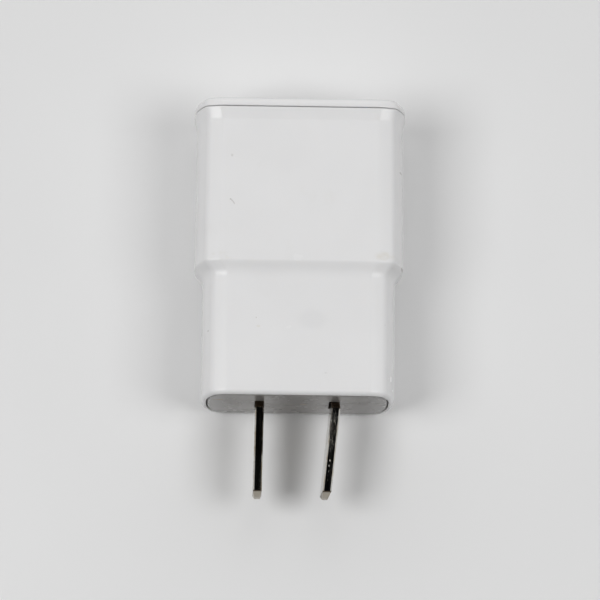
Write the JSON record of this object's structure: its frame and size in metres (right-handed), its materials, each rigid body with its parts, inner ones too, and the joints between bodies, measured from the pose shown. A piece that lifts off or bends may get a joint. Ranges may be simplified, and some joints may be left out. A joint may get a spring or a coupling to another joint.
{
  "type": "usb wall charger",
  "caption": "Stepped white plug-in wall charger with flat mains blades on an inset plate at the narrow end and a rectangular USB power port in the cap at the wide end.",
  "frame": {"origin": "the middle of the outlet face: the flat outer face of the blade plate, halfway between the blades", "axes": "+Y runs from the blades to the USB end along the charger's length; +X is across its width; +Z is through its thickness, up from the back it lies on, so the blades point along -Y"},
  "size_m": [0.0358, 0.0666, 0.0208],
  "materials": {
    "white_shell": "glossy injection-moulded white, light scuffs",
    "plate": "semi-gloss grey-white moulding",
    "blade_metal": "nickel plate over brass, lengthwise scratches",
    "black_insulator": "moulded black insulator",
    "spring_brass": "rolled strip",
    "board": "green solder mask over laminate",
    "film": "thin insulating film",
    "resistor_enamel": "baked enamel",
    "capacitor_sleeve": "shrink sleeve over an aluminium can",
    "ferrite": "fired ferrite",
    "enamelled_copper": "enamelled copper wire",
    "tape": "polyester tape over copper wire",
    "disc_lacquer": "dipped blue lacquer",
    "chip_ceramic": "fired chip ceramic",
    "port_steel": "plated folded sheet",
    "tongue_plastic": "moulded white",
    "contact_gold": "gold-plated contact"
  },
  "bodies": {
    "root": {"housing": "white_shell", "port_cap": "white_shell", "blade_plate": "plate", "left_blade": "blade_metal", "right_blade": "blade_metal", "blade_carrier": "black_insulator", "left_blade_contact": "spring_brass", "right_blade_contact": "spring_brass", "main_circuit_board": "board", "insulation_sheet": "film", "fusible_resistor": "resistor_enamel", "input_capacitor_1": "capacitor_sleeve", "input_capacitor_2": "capacitor_sleeve", "output_capacitor_1": "capacitor_sleeve", "output_capacitor_2": "capacitor_sleeve", "filter_inductor_core": "ferrite", "filter_inductor_winding": "enamelled_copper", "transformer_core_front": "ferrite", "transformer_core_rear": "ferrite", "transformer_bobbin": "black_insulator", "transformer_winding": "tape", "transformer_tape": "tape", "safety_capacitor": "disc_lacquer", "bridge_rectifier": "black_insulator", "controller_chip": "black_insulator", "output_diode": "black_insulator", "optocoupler": "black_insulator", "snubber_resistor": "black_insulator", "snubber_capacitor": "chip_ceramic", "usb_shell": "port_steel", "usb_tongue": "tongue_plastic", "usb_contact_1": "contact_gold", "usb_contact_2": "contact_gold", "usb_contact_3": "contact_gold", "usb_contact_4": "contact_gold"}
  },
  "joints": []
}
